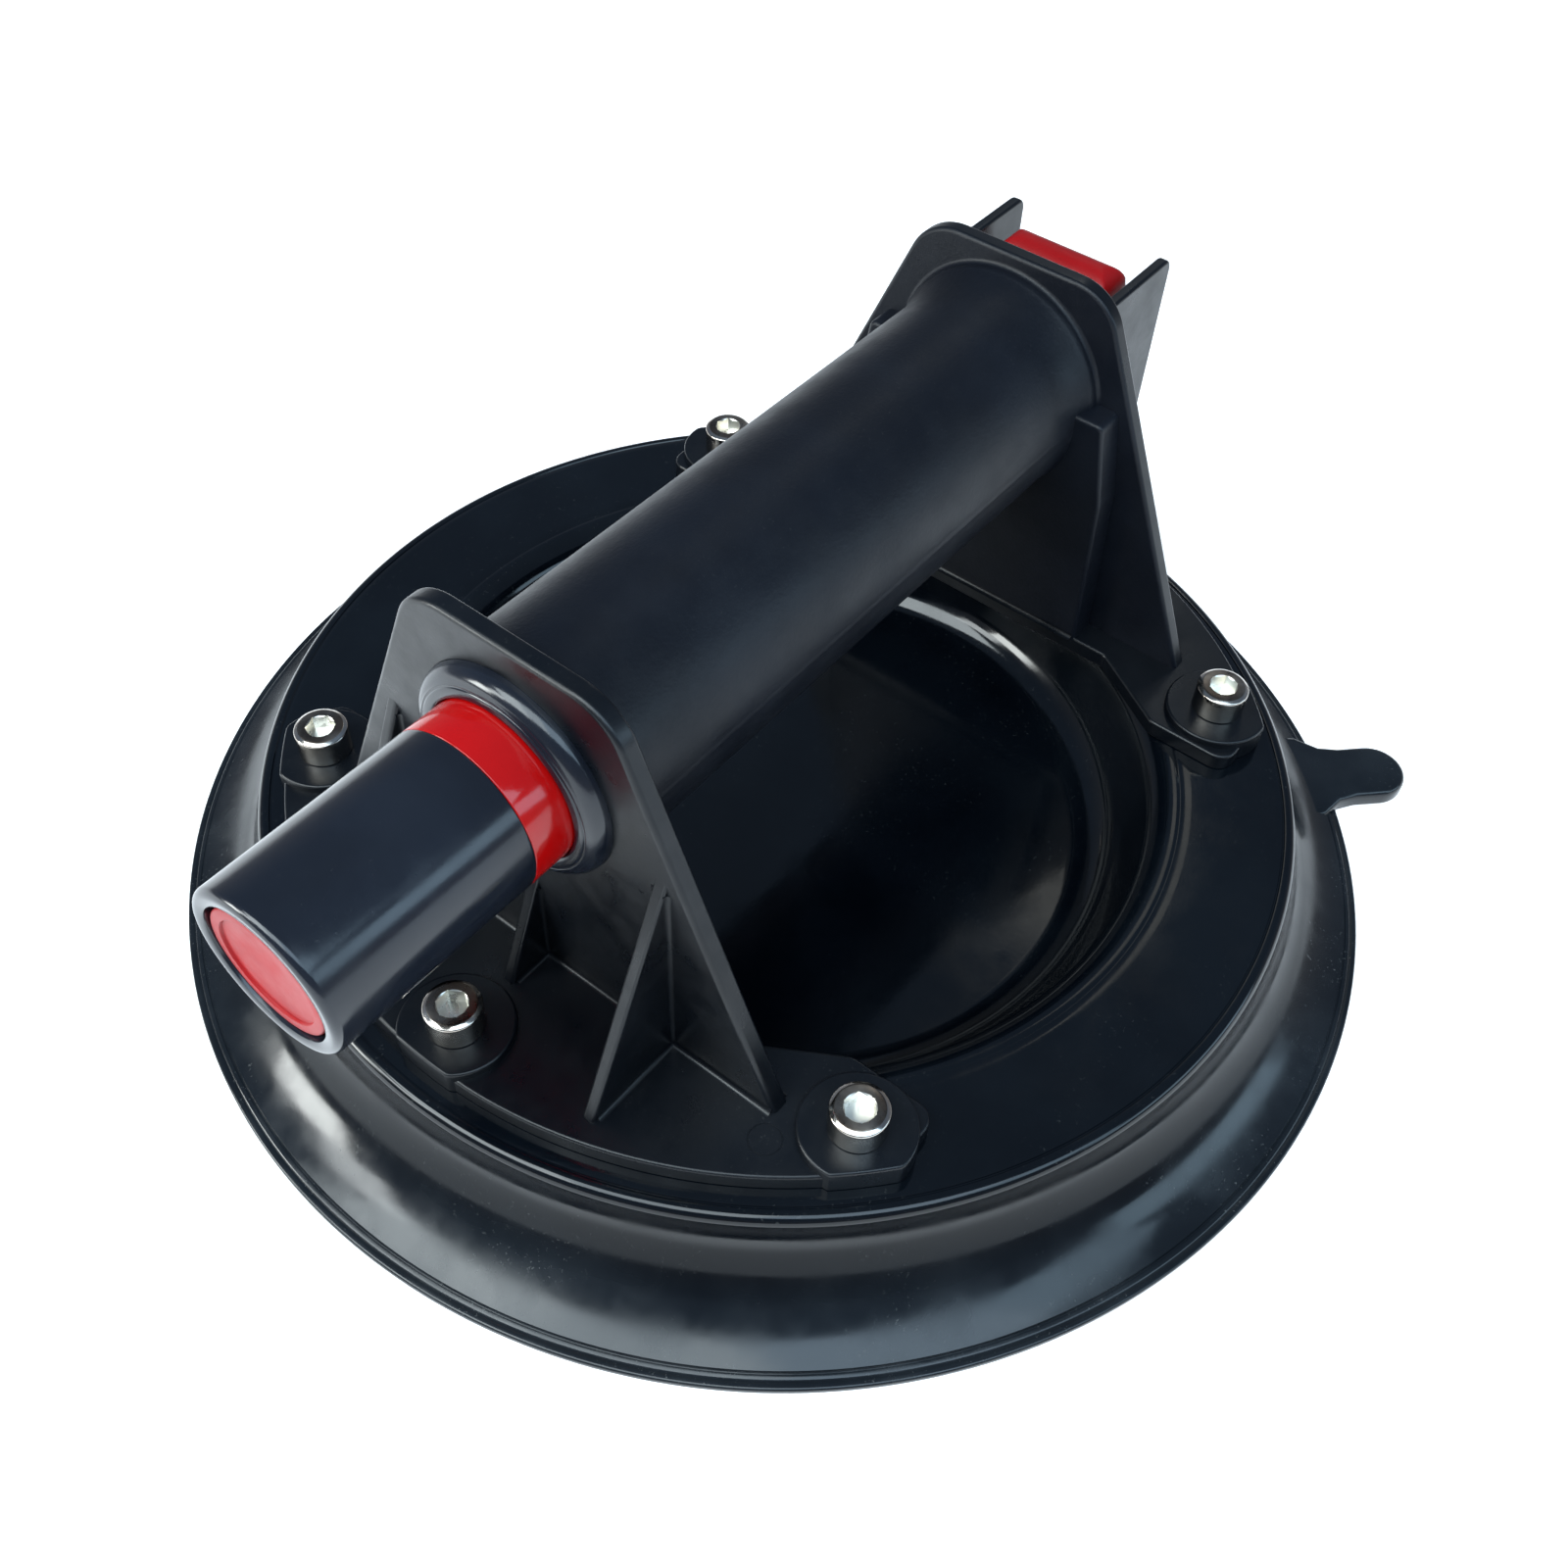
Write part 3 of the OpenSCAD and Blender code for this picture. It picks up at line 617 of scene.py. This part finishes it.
def bracket_plates():
    """The front and rear plates, the block inside the rear one and the valve chamber behind it."""
    low, high = PLATE_HALF
    plate = rounded([(-low, SUNK), (low, SUNK), (low, FOOT_TOP),
                     (high, HANDLE_TOP), (-high, HANDLE_TOP), (-low, FOOT_TOP)],
                    [0, 0, 1.0, 9, 9, 1.0], 12)
    block = rounded([(-25.8, SUNK), (25.8, SUNK), (24.8, 53), (22.4, 67.5), (-22.4, 67.5), (-24.8, 53)],
                    [0, 0, 4, 1.2, 1.2, 4], 6)
    chamber = [(0, REAR_OUT), (7.5, REAR_OUT)] + arc(6.9, 68.1, 0.6, 0, 90, 4) + [(0, 68.7)]
    return [
        slab("plate", plate, FRONT_OUT, FRONT_IN, across_x, 0.8, 0.5, 5),
        slab("plate", plate, REAR_IN, REAR_OUT, across_x, 0.7, 0.7, 5),
        slab("pedestal", block, PEDESTAL_IN, REAR_IN + 1, across_x, 0.7, 0, 4),
        lathe("valve", chamber, 96, along_x),
        rod_z(PORT_X, 0, 22.5, AXIS_Z, 3.5),
    ]


def feet():
    """The two feet, each a segment of a circle with a step at its inner side, and the screw bosses."""
    made = []
    foot_r, half = 80, 60.5
    sweep = math.degrees(math.asin(half / foot_r))
    for s in (-1, 1):
        rim = arc(0, 0, foot_r, -sweep, sweep, 72)
        outline = [(50, -32), (41.5, -46), (41.5, -half)] + rim + [(41.5, half), (41.5, 46), (50, 32)]
        radii = [2, 3, 3, 2.5] + [0] * (len(rim) - 2) + [2.5, 3, 3, 2]
        outline = [(s * u, v) for u, v in rounded(outline, radii, 5)]
        made.append(slab("foot", outline, PAD_TOP, FOOT_TOP, upright, 0.25, 0.55, 4))
    for x, y in SCREWS:
        ring = []
        for u, v in arc(x, y, 8.5, 0, 355, 71):
            far = max(1.0, math.hypot(u, v) / (foot_r + 0.5))
            ring.append((u / far, v / far))
        made.append(slab("boss", ring, PAD_TOP + 0.02, BOSS_TOP, upright, 0.2, 0.45, 4))
    return made


def ribs_and_fins():
    """The three ribs before the front plate, and the two fins that guard the lever."""
    made = []
    for y, toe, top in RIBS:
        outline = rounded([(-54.6, 22.6), (-toe, 22.6), (-toe, 24.4), (FRONT_OUT, top), (-54.6, top + 1)],
                          [0, 0, 0.9, 0, 0], 4)
        made.append(slab("rib", outline, y - 1, y + 1, across_y, 0.6, 0.6, 4))
    for s in (-1, 1):
        outline = rounded([(57, 22.6), (77, 22.6), (77, 24), (79.8, 50), (79.8, 80.4), (57, 80.4)],
                          [0, 0, 0, 6, 1.9, 0], 6)
        near, far = sorted(s * y for y in FIN_Y)
        made.append(slab("fin", outline, near, far, across_y, 0.55, 0.55, 4))
    return made


def bead(u0, v0, su, sv, w0, w1, place, r=0.8):
    """A small fillet in the corner at (u0, v0). It lies towards su and sv, each +1 or -1."""
    sunk = 0.15
    curve = [(u0 + su * (r - r * math.sin(a)), v0 + sv * (r - r * math.cos(a)))
             for a in (math.radians(18 * k) for k in range(6))]
    outline = curve + [(u0 - su * sunk, v0 + sv * r), (u0 - su * sunk, v0 - sv * sunk),
                       (u0 + su * r, v0 - sv * sunk)]
    return slab("bead", outline, w0, w1, place)


def fillets():
    """Fillets where the plates, the ribs, the fins and the feet meet."""
    half = PLATE_HALF[0] - 0.6
    made = [
        bead(FRONT_OUT, FOOT_TOP, -1, 1, -half, half, across_y),
        bead(FRONT_IN, FOOT_TOP, 1, 1, -half, half, across_y),
        bead(REAR_OUT, FOOT_TOP, 1, 1, -half, half, across_y),
        bead(PEDESTAL_IN, FOOT_TOP, -1, 1, -25.2, 25.2, across_y),
    ]
    for y, toe, top in RIBS:
        for s in (-1, 1):
            made.append(bead(y + s, FOOT_TOP, s, 1, 1 - toe, -55.8, across_x, 0.7))
            made.append(bead(FRONT_OUT, y + s, -1, s, FOOT_TOP, top - 2, upright, 0.7))
    for s in (-1, 1):
        for y, side in zip(FIN_Y, (-1, 1)):
            made.append(bead(REAR_OUT, s * y, 1, s * side, FOOT_TOP, 79, upright, 0.7))
    return made


def handle_bores():
    """Everything that is cut from the handle."""
    cuts = [
        rod_x(-58, -54, 16.45, 128), rod_x(-54.5, 50, 15.2, 128),       # mouth and barrel
        rod_x(49.5, 53, 3.05), rod_x(52.5, 56.2, 2.01),                 # end of the pipe
        rod_x(56, 69, 4.2), rod_x(67, 70, 5.0),                         # valve chamber and its seat
        rod_z(PORT_X, 0, 20, AXIS_Z, 1.51), rod_z(PORT_X, 0, 20, 22.3, 2.9),    # duct and O-ring
    ]
    cuts += [rod_z(x, y, 20, 27, 2.75, 48) for x, y in SCREWS]
    cuts.append(rod_y(PIN_X, PIN_Z, 20, 2.01, 48))
    # shallow round marks of the mould's ejector pins, at corners of the feet
    for x, y in ((-59.6, -44.5), (-59.6, 44.5), (59.6, 44.5)):
        mark = rod_z(x, y, FOOT_TOP - 0.12, 25, 2.5, 48)
        cuts.append(combine(mark, [rod_z(x, y, 23.5, 25.5, 2.25, 48)], "DIFFERENCE"))
    return cuts


def make_handle():
    """The one-piece handle. Its grip and the inner end behind it have a coarser finish."""
    tube = grip_tube()
    combine(tube, bracket_plates() + feet() + ribs_and_fins() + fillets())
    combine(tube, handle_bores(), "DIFFERENCE")
    smooth(tube, 34, weighted=True)
    handle = piece(tube, "handle", "base", "handle_plastic", "handle_frame")
    handle.data.materials.append(MATS["grip_plastic"])
    for f in handle.data.polygons:
        c = f.center / MM
        away = math.hypot(c.y, c.z - AXIS_Z)
        on_grip = -52.9 < c.x < 55.5 and 16.5 < away < 19.8
        inner_end = 49.8 < c.x < 55.5 and c.z > 25.5 and f.normal.x < 0.5
        if on_grip or inner_end:
            f.material_index = 1
    return handle


# ---------------------------------------------------------------- screws, collar and plunger

def screw(number, x, y):
    """A socket head cap screw with a soft rim. Its number sets how far its hexagon is turned."""
    head_r, head_h, shank_r, socket_r = 4.25, 5.0, 2.5, 2.42

    def place(a, b, h):
        return (x + a, y + b, BOSS_TOP + h)

    profile = [(0, -12), (2.1, -12), (shank_r, -11.6), (shank_r, 0.02), (3.9, 0.02), (4.1, 0.0)]
    profile += [(head_r, 0.2), (head_r, 4.35)] + arc(head_r - 0.35, 4.35, 0.35, 0, 60, 4)[1:]
    profile += [(3.72, 4.86), (3.6, 4.93), (3.35, head_h), (0, head_h)]
    head = lathe("screw", profile, 72, place)
    corners = [math.radians(17 + 41 * number) + i * math.pi / 3 for i in range(6)]
    hexagon = [(socket_r * math.cos(a), socket_r * math.sin(a)) for a in corners]
    socket = slab("socket", rounded(hexagon, 0.06, 2), 2.4, 6, place)
    drill = lathe("drill", [(0, 1.7), (1.9, 2.5), (1.9, 6), (0, 6)], 36, place)
    mouth = lathe("mouth", [(0, 4.6), (2.05, 4.75), (2.32, 5.02), (2.32, 6), (0, 6)], 48, place)
    return combine(head, [socket, drill, mouth], "DIFFERENCE")


def make_screws():
    """Six screws as one piece, with a painted highlight in the sockets (a brighter steel) and a painted dark
    reflection on top of the heads (a dark brown steel).
    """
    whole = [screw(number, x, y) for number, (x, y) in enumerate(SCREWS)]
    bm = bmesh.new()
    for o in whole:
        bm.from_mesh(o.data)
    made = bpy.data.meshes.new("screws")
    bm.to_mesh(made)
    bm.free()
    for o in whole:
        bpy.data.objects.remove(o)
    ob = bpy.data.objects.new("screws", made)
    bpy.context.scene.collection.objects.link(ob)
    smooth(ob, 30, weighted=True)
    screws = piece(ob, "screws", "base", "stainless", "foot_screws")
    screws.data.materials.append(MATS["socket_painted_highlight_steel"])
    screws.data.materials.append(MATS["head_top_painted_reflection_steel"])
    for f in screws.data.polygons:
        c = f.center / MM
        off_axis = min(math.hypot(c.x - x, c.y - y) for x, y in SCREWS)
        # painted highlight: the socket walls get the brighter steel
        if 27.0 < c.z < 30.38 and off_axis < 2.45:
            f.material_index = 1
        # painted dark reflection: the tops of the heads get the dark brown steel
        elif c.z > 30.3 and f.normal.z > 0.75:
            f.material_index = 2
    return screws


def turned(name, profile, body, slot, stands_for, angle=40):
    """A ring on the grip's axis, as a finished piece."""
    ob = lathe(name, profile, 160, along_x, True)
    smooth(ob, angle)
    return piece(ob, name, body, slot, stands_for)


def make_collar():
    """A rounded ring with a fine bead at its mouth, and the hidden spigot behind it."""
    mouth, end = extent("gland_collar", 0)
    bore, groove_r, spigot_r = 12.43, 13.4, 13.95
    profile = [(bore, 0.4), (12.55, 0.15), (12.8, 0.02), (13.1, 0.0), (13.8, 0.03), (14.0, 0.12)]
    profile += [(14.1, 0.26), (14.25, 0.30), (14.4, 0.26)]
    profile += arc(14.0, 2.7, 2.4, -75, 0, 14) + [(16.4, 5.0), (15.14, 5.0), (15.14, 10.0)]
    profile += [(spigot_r, 10.0), (spigot_r, end - mouth), (bore, end - mouth)]
    profile += [(bore, 7.5), (groove_r, 7.5), (groove_r, 5.0), (bore, 5.0)]
    turned("collar", moved(profile, mouth), "base", "cap_plastic", "gland_collar", 34)


def make_plunger():
    """The thumb cap with its rolled end, the band behind it and the disc set in its end."""
    bore, outer, corner = 9.92, 12.35, 0.15
    tip, seam = extent("plunger_cap", 0)
    cap = [(bore, seam), (bore, tip + 0.6), (10.05, tip + 0.2), (10.3, tip + 0.05)]
    cap += arc(outer - 1.1, tip + 1.1, 1.1, -100, 0, 10)
    cap += [(outer, -94), (outer, -80), (outer, -68), (outer, seam - 0.45)]
    cap += arc(outer - corner, seam - corner, corner, 0, 90, 3)
    turned("cap", cap, "plunger", "cap_plastic", "plunger_cap")

    inner_end = extent("indicator_band", 0)[1]
    band = [(bore, inner_end), (bore, seam + 0.02)]
    band += arc(outer - corner, seam + 0.02 + corner, corner, -90, 0, 3) + [(outer, -60)]
    band += arc(outer - corner, inner_end - corner, corner, 0, 90, 3)
    turned("band", band, "plunger", "red_plastic", "indicator_band")

    face, back = extent("end_disc", 0)
    disc = [(0, back), (9.2, back), (9.45, back - 0.25)]
    disc += arc(9.1, face + 0.35, 0.35, 0, -90, 4) + [(8.2, face)]
    disc += arc(7.9, face + 0.15, 0.15, -90, -150, 3)
    disc += [(7.65, face + 0.35), (7.4, face + 0.4), (4, face + 0.38), (0, face + 0.35)]
    ob = lathe("end_disc", disc, 128, along_x)
    smooth(ob, 40)
    piece(ob, "disc", "plunger", "red_plastic", "end_disc", finish="disc_plastic")


# ---------------------------------------------------------------- lever

def make_lever():
    """The release lever: a hollow blade on its hub, evened out so that every edge is soft."""
    half, hub_r, hub_half = 10.5, 4.2, 12.8
    low, high = extent("release_lever", 2)
    side = [(70.3, PIN_Z), (66.5, AXIS_Z)] + arc(70.5, high - 4, 4, 180, 7, 12) + [(78.65, PIN_Z)]
    side += arc(PIN_X, PIN_Z, hub_r, -7, -173, 14)
    front = rounded([(-half, low), (half, low), (half, high), (-half, high)], [0, 0, 3.5, 3.5], 8)
    hollow = [(59, 48.2), (76.2, 48.2), (72.5, 75.4), (59, 75.4)]
    blade = slab("lever", side, -half, half, across_y)
    combine(blade, [slab("front", front, 58, 90, across_x)], "INTERSECT")
    combine(blade, [slab("hollow", hollow, -8.5, 8.5, across_y)], "DIFFERENCE")
    # the nub presses on the stem
    combine(blade, [rod_y(PIN_X, PIN_Z, hub_half, hub_r), rod_y(PIN_X + 0.15, AXIS_Z, 3, 1.2, 32)])
    combine(blade, [rod_y(PIN_X, PIN_Z, 20, 2.05)], "DIFFERENCE")
    even = blade.modifiers.new("even", "REMESH")
    even.mode, even.voxel_size = "VOXEL", 0.34 * MM
    soften = blade.modifiers.new("soften", "SMOOTH")
    soften.factor, soften.iterations = 0.5, 5
    dg = bpy.context.evaluated_depsgraph_get()
    made = bpy.data.meshes.new_from_object(blade.evaluated_get(dg))
    blade.modifiers.clear()
    blade.data = made
    for f in made.polygons:
        f.use_smooth = True
    return piece(blade, "lever", "lever", "lever_plastic", "release_lever")


# ---------------------------------------------------------------- springs

def make_spring(name, stands_for, r, wire, turns):
    """A coil with flat ends between its two seats, which takes its length from the CAD spring."""
    seats = extent(stands_for, 0)
    spare = 1.02 * wire     # so that the wire's end stays inside the seats
    length = seats[1] - seats[0]
    steps, sides = 28, 10
    total = turns * steps
    verts, faces = [], []
    for i in range(total + 1):
        h, a = seats[0] + spare + (length - 2 * spare) * i / total, 2 * math.pi * i / steps
        for j in range(sides):
            b = 2 * math.pi * j / sides
            rr = r + wire * math.cos(b)
            verts.append((h + wire * math.sin(b), rr * math.cos(a), AXIS_Z + rr * math.sin(a)))
    for i in range(total):
        for j in range(sides):
            k = (j + 1) % sides
            faces.append((i * sides + j, (i + 1) * sides + j, (i + 1) * sides + k, i * sides + k))
    faces.append(tuple(range(sides)))
    faces.append(tuple(range(total * sides, (total + 1) * sides))[::-1])
    ob = mesh_of(name, verts, faces)
    smooth(ob, 50)
    piece(ob, name, "base", "spring_steel", stands_for)
    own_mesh(ob)
    return ob


make_pad()
make_handle()
make_screws()
make_collar()
make_plunger()
make_lever()
make_spring("return_coil", "return_spring", 8.3, 0.75, 7)
make_spring("check_coil", "check_spring", 2.6, 0.3, 3)
make_spring("release_coil", "release_spring", 2.7, 0.35, 5)

SLOTS = {s["node"]: s["material_slot"] for s in frame["record"].get("subparts", [])}
for name, ob in nodes.items():
    ob.data.materials.clear()
    ob.data.materials.append(MATS[SLOTS.get(name, "white_plastic")])


# ---------------------------------------------------------------- floor, light

def make_floor():
    """A plain pale floor that stays nearly white all over."""
    half = 1600
    verts = [(x, y, 0) for x in (-half, half) for y in (-half, half)]
    floor = mesh_of("floor", verts, [(0, 2, 3, 1)])
    floor.location.z = -0.05 * MM       # just under the lip
    n = Nodes("floor")
    n.set(
        Base_Color=n.mix(n.noise(9, 3), (0.80, 0.80, 0.80), (0.83, 0.83, 0.83)), Roughness=0.7,
        Specular_IOR_Level=0.2,
    )
    n.shader.inputs["Emission Color"].default_value = (1, 1, 1, 1)
    n.shader.inputs["Emission Strength"].default_value = 0.62
    floor.data.materials.append(n.mat)


def panel(name, place, target, size, glow, colour, turn=0.0):
    """A rectangular window of even brightness glow, turned in its own plane."""
    data = bpy.data.lights.new(name, "AREA")
    data.shape, data.size, data.size_y = "RECTANGLE", size[0] * MM, size[1] * MM
    data.energy, data.color = glow * math.pi * data.size * data.size_y, colour
    ob = bpy.data.objects.new(name, data)
    place, target = Vector(place) * MM, Vector(target) * MM
    ob.location = place
    ob.rotation_mode = "QUATERNION"
    aim = (target - place).to_track_quat("-Z", "Y")
    ob.rotation_quaternion = aim @ Quaternion((0, 0, 1), math.radians(turn))
    bpy.context.scene.collection.objects.link(ob)


def make_world():
    """Dim cool daylight from all sides."""
    world = bpy.data.worlds.new("studio")
    world.use_nodes = True
    t = world.node_tree
    t.nodes.clear()
    out, back = t.nodes.new("ShaderNodeOutputWorld"), t.nodes.new("ShaderNodeBackground")
    coord, split = t.nodes.new("ShaderNodeTexCoord"), t.nodes.new("ShaderNodeSeparateXYZ")
    ramp = t.nodes.new("ShaderNodeValToRGB")
    t.links.new(coord.outputs["Generated"], split.inputs[0])
    t.links.new(split.outputs["Z"], ramp.inputs["Fac"])
    t.links.new(ramp.outputs["Color"], back.inputs["Color"])
    t.links.new(back.outputs["Background"], out.inputs["Surface"])
    stops = ramp.color_ramp.elements
    stops[0].position, stops[0].color = 0.0, (0.26, 0.27, 0.29, 1)
    stops[1].position, stops[1].color = 1.0, (0.16, 0.22, 0.30, 1)
    for at, colour in ((0.25, (0.20, 0.23, 0.28, 1)), (0.6, (0.13, 0.18, 0.26, 1))):
        e = stops.new(at)
        e.color = colour
    back.inputs["Strength"].default_value = 1.0
    bpy.context.scene.world = world


make_floor()
make_world()
# a long strip of skylight overhead, brighter towards one end
STRIP_START, STRIP_WAY, STRIP_AIM = (-388, -207, 760), (0.469, -0.883, 0), (328, 157, -755)
for name, along, length, width, glow, colour in (
        ("strip_left", -560, 520, 500, 9.4, (0.87, 0.97, 1.0)),
        ("strip_near", -110, 380, 430, 6.4, (0.80, 0.93, 1.0)),
        ("strip_middle", 330, 500, 430, 4.6, (0.62, 0.82, 1.0)),
        ("strip_right", 900, 640, 390, 3.6, (0.56, 0.80, 1.0))):
    spot = Vector([start + way * along for start, way in zip(STRIP_START, STRIP_WAY)])
    panel(name, spot, spot + Vector(STRIP_AIM), (length, width), glow, colour)
# lower windows: one in front, two at the left, and a small bright one behind with a dim one beside it
panel("window_low", (330, -850, 305), (-10, -90, 5), (620, 220), 3.4, (0.55, 0.80, 1.0), -20)
panel("window_gap", (-703, 428, 471), (-92, 0, 5), (210, 180), 11.0, (0.92, 0.99, 1.0))
panel("window_left", (-650, 565, 263), (-90, 20, 5), (230, 230), 19.0, (0.95, 1.0, 0.98))
panel("window_rear", (735, 275, 690), (60, -10, 5), (95, 45), 10.0, (0.97, 1.0, 0.95))
panel("window_rear_dim", (620, 190, 790), (20, -40, 5), (170, 130), 1.1, (1.0, 0.98, 0.86))
